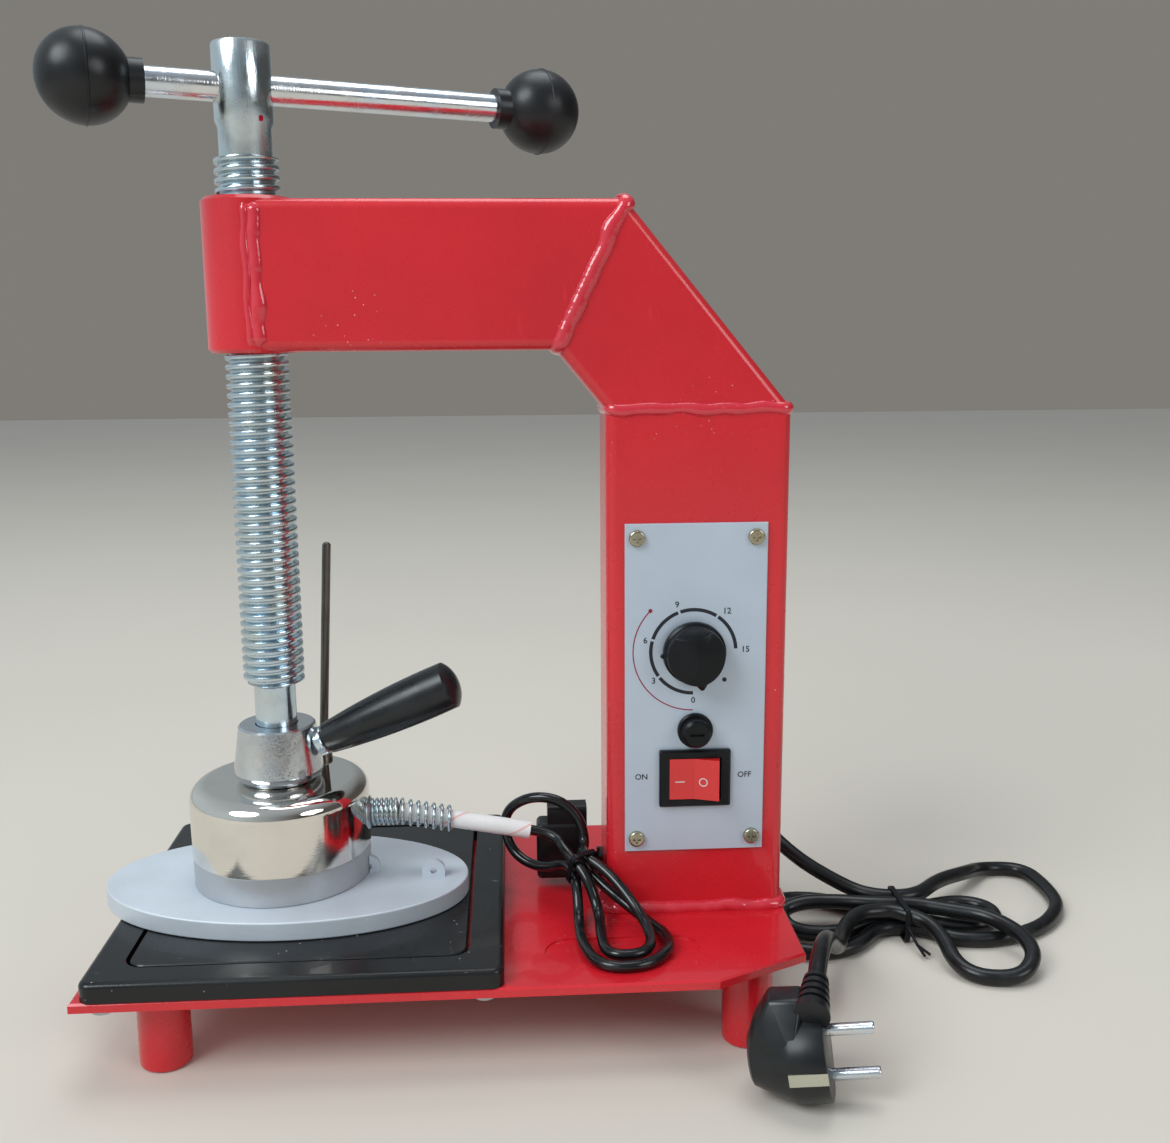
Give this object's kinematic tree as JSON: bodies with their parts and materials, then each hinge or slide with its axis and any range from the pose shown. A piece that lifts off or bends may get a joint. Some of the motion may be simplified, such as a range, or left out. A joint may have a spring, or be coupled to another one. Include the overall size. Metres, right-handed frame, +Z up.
{
  "type": "tire vulcanizer",
  "caption": "Bench press for vulcanizing tyre patches: C-frame, screw with sliding bar, heated head over a heated platen, timer, fuse, switch, and cords.",
  "frame": {"origin": "middle of the machine's footprint on the surface its feet stand on", "axes": "+X from the press head to the column, +Y to the back, +Z up; the panel faces -Y"},
  "size_m": [0.4741, 0.2213, 0.4171],
  "materials": {
    "red_paint": "gloss",
    "black_paint": "satin",
    "zinc": "satin",
    "steel": "satin",
    "chrome": "polished",
    "aluminium": "matt",
    "panel": "satin",
    "brass": "satin",
    "black_plastic": "satin",
    "gloss_black": "gloss",
    "red_plastic": "gloss",
    "white_sleeve": "matt",
    "cord": "satin",
    "insulation": "matt",
    "mica": "satin",
    "glass": "clear"
  },
  "bodies": {
    "frame": {"base_plate": "red_paint", "feet": "red_paint", "column_tube": "red_paint", "elbow_tube": "red_paint", "arm_tube": "red_paint", "screw_nut": "red_paint", "column_welds": "red_paint", "arm_weld": "red_paint", "nut_welds": "red_paint", "platen_frame": "black_paint", "lower_heating_plate": "black_paint", "lower_heating_element": "mica", "lower_insulation": "insulation", "platen_screws": "steel", "control_panel": "panel", "panel_screws": "brass", "timer_body": "black_plastic", "fuse_holder": "black_plastic", "switch_housing": "black_plastic", "terminal_block": "white_sleeve", "lead_socket": "black_plastic", "lead_connector": "black_plastic", "head_lead": "cord", "lead_tie": "black_plastic", "mains_gland": "black_plastic", "gland_nut": "black_plastic", "mains_cord_run": "cord", "mains_hank": "cord", "mains_tie": "black_plastic", "mains_cord_tail": "cord", "plug_body": "black_plastic", "plug_pins": "zinc", "plug_earth_clips": "brass"},
    "lift_washer": {"thrust_washer": "steel"},
    "screw": {"press_screw": "zinc"},
    "bar": {"turning_bar": "zinc", "ball_knobs": "gloss_black"},
    "head": {"collar": "zinc", "collar_set_screws": "steel", "spigot_nut": "zinc", "cup_cover": "chrome", "heater_block": "aluminium", "upper_heating_element": "mica", "clamp_disc": "steel", "upper_insulation": "insulation", "head_bolts": "steel", "press_plate": "aluminium", "press_plate_screws": "steel", "handle_stud": "zinc", "handle_grip": "gloss_black", "guide_rod": "steel", "gland_nipple": "zinc", "relief_spring": "steel", "lead_sleeve": "white_sleeve"},
    "rocker": {"switch_rocker": "red_plastic"},
    "timer": {"timer_knob": "black_plastic", "timer_shaft": "steel"},
    "fuse": {"glass_fuse": "glass"},
    "fuse_cap": {"fuse_cap": "black_plastic"}
  },
  "joints": [
    {"name": "head_lift", "type": "slide", "parent": "frame", "child": "lift_washer", "axis": [0, 0, 1], "range_m": [0, 0.12]},
    {"name": "screw_turn", "type": "hinge", "parent": "lift_washer", "child": "screw", "pos_m": [-0.07524, 0, 0.1038], "axis": [0, 0, 1], "range_deg": [0, 10800]},
    {"name": "bar_slide", "type": "slide", "parent": "screw", "child": "bar", "axis": [0.9272, 0.3746, 0], "range_m": [-0.098, 0.0265]},
    {"name": "head_swivel", "type": "hinge", "parent": "lift_washer", "child": "head", "pos_m": [-0.07524, 0, 0.1038], "axis": [0, 0, 1], "range_deg": [-20, 2]},
    {"name": "switch_rock", "type": "hinge", "parent": "frame", "child": "rocker", "pos_m": [0.11206, -0.0221, 0.1031], "axis": [0, 0, 1], "range_deg": [0, 20]},
    {"name": "timer_turn", "type": "hinge", "parent": "frame", "child": "timer", "pos_m": [0.11106, -0.0215, 0.1611], "axis": [0, 1, 0], "range_deg": [-35, 280]},
    {"name": "fuse_draw", "type": "slide", "parent": "frame", "child": "fuse", "axis": [0, -1, 0], "range_m": [0, 0.03]},
    {"name": "fuse_cap_turn", "type": "hinge", "parent": "fuse", "child": "fuse_cap", "pos_m": [0.11206, -0.0215, 0.1251], "axis": [0, 1, 0], "range_deg": [-90, 0]}
  ],
  "couplings": [
    {"joint": "head_lift", "follows": "screw_turn", "m_per_rad": 0.00063662}
  ]
}
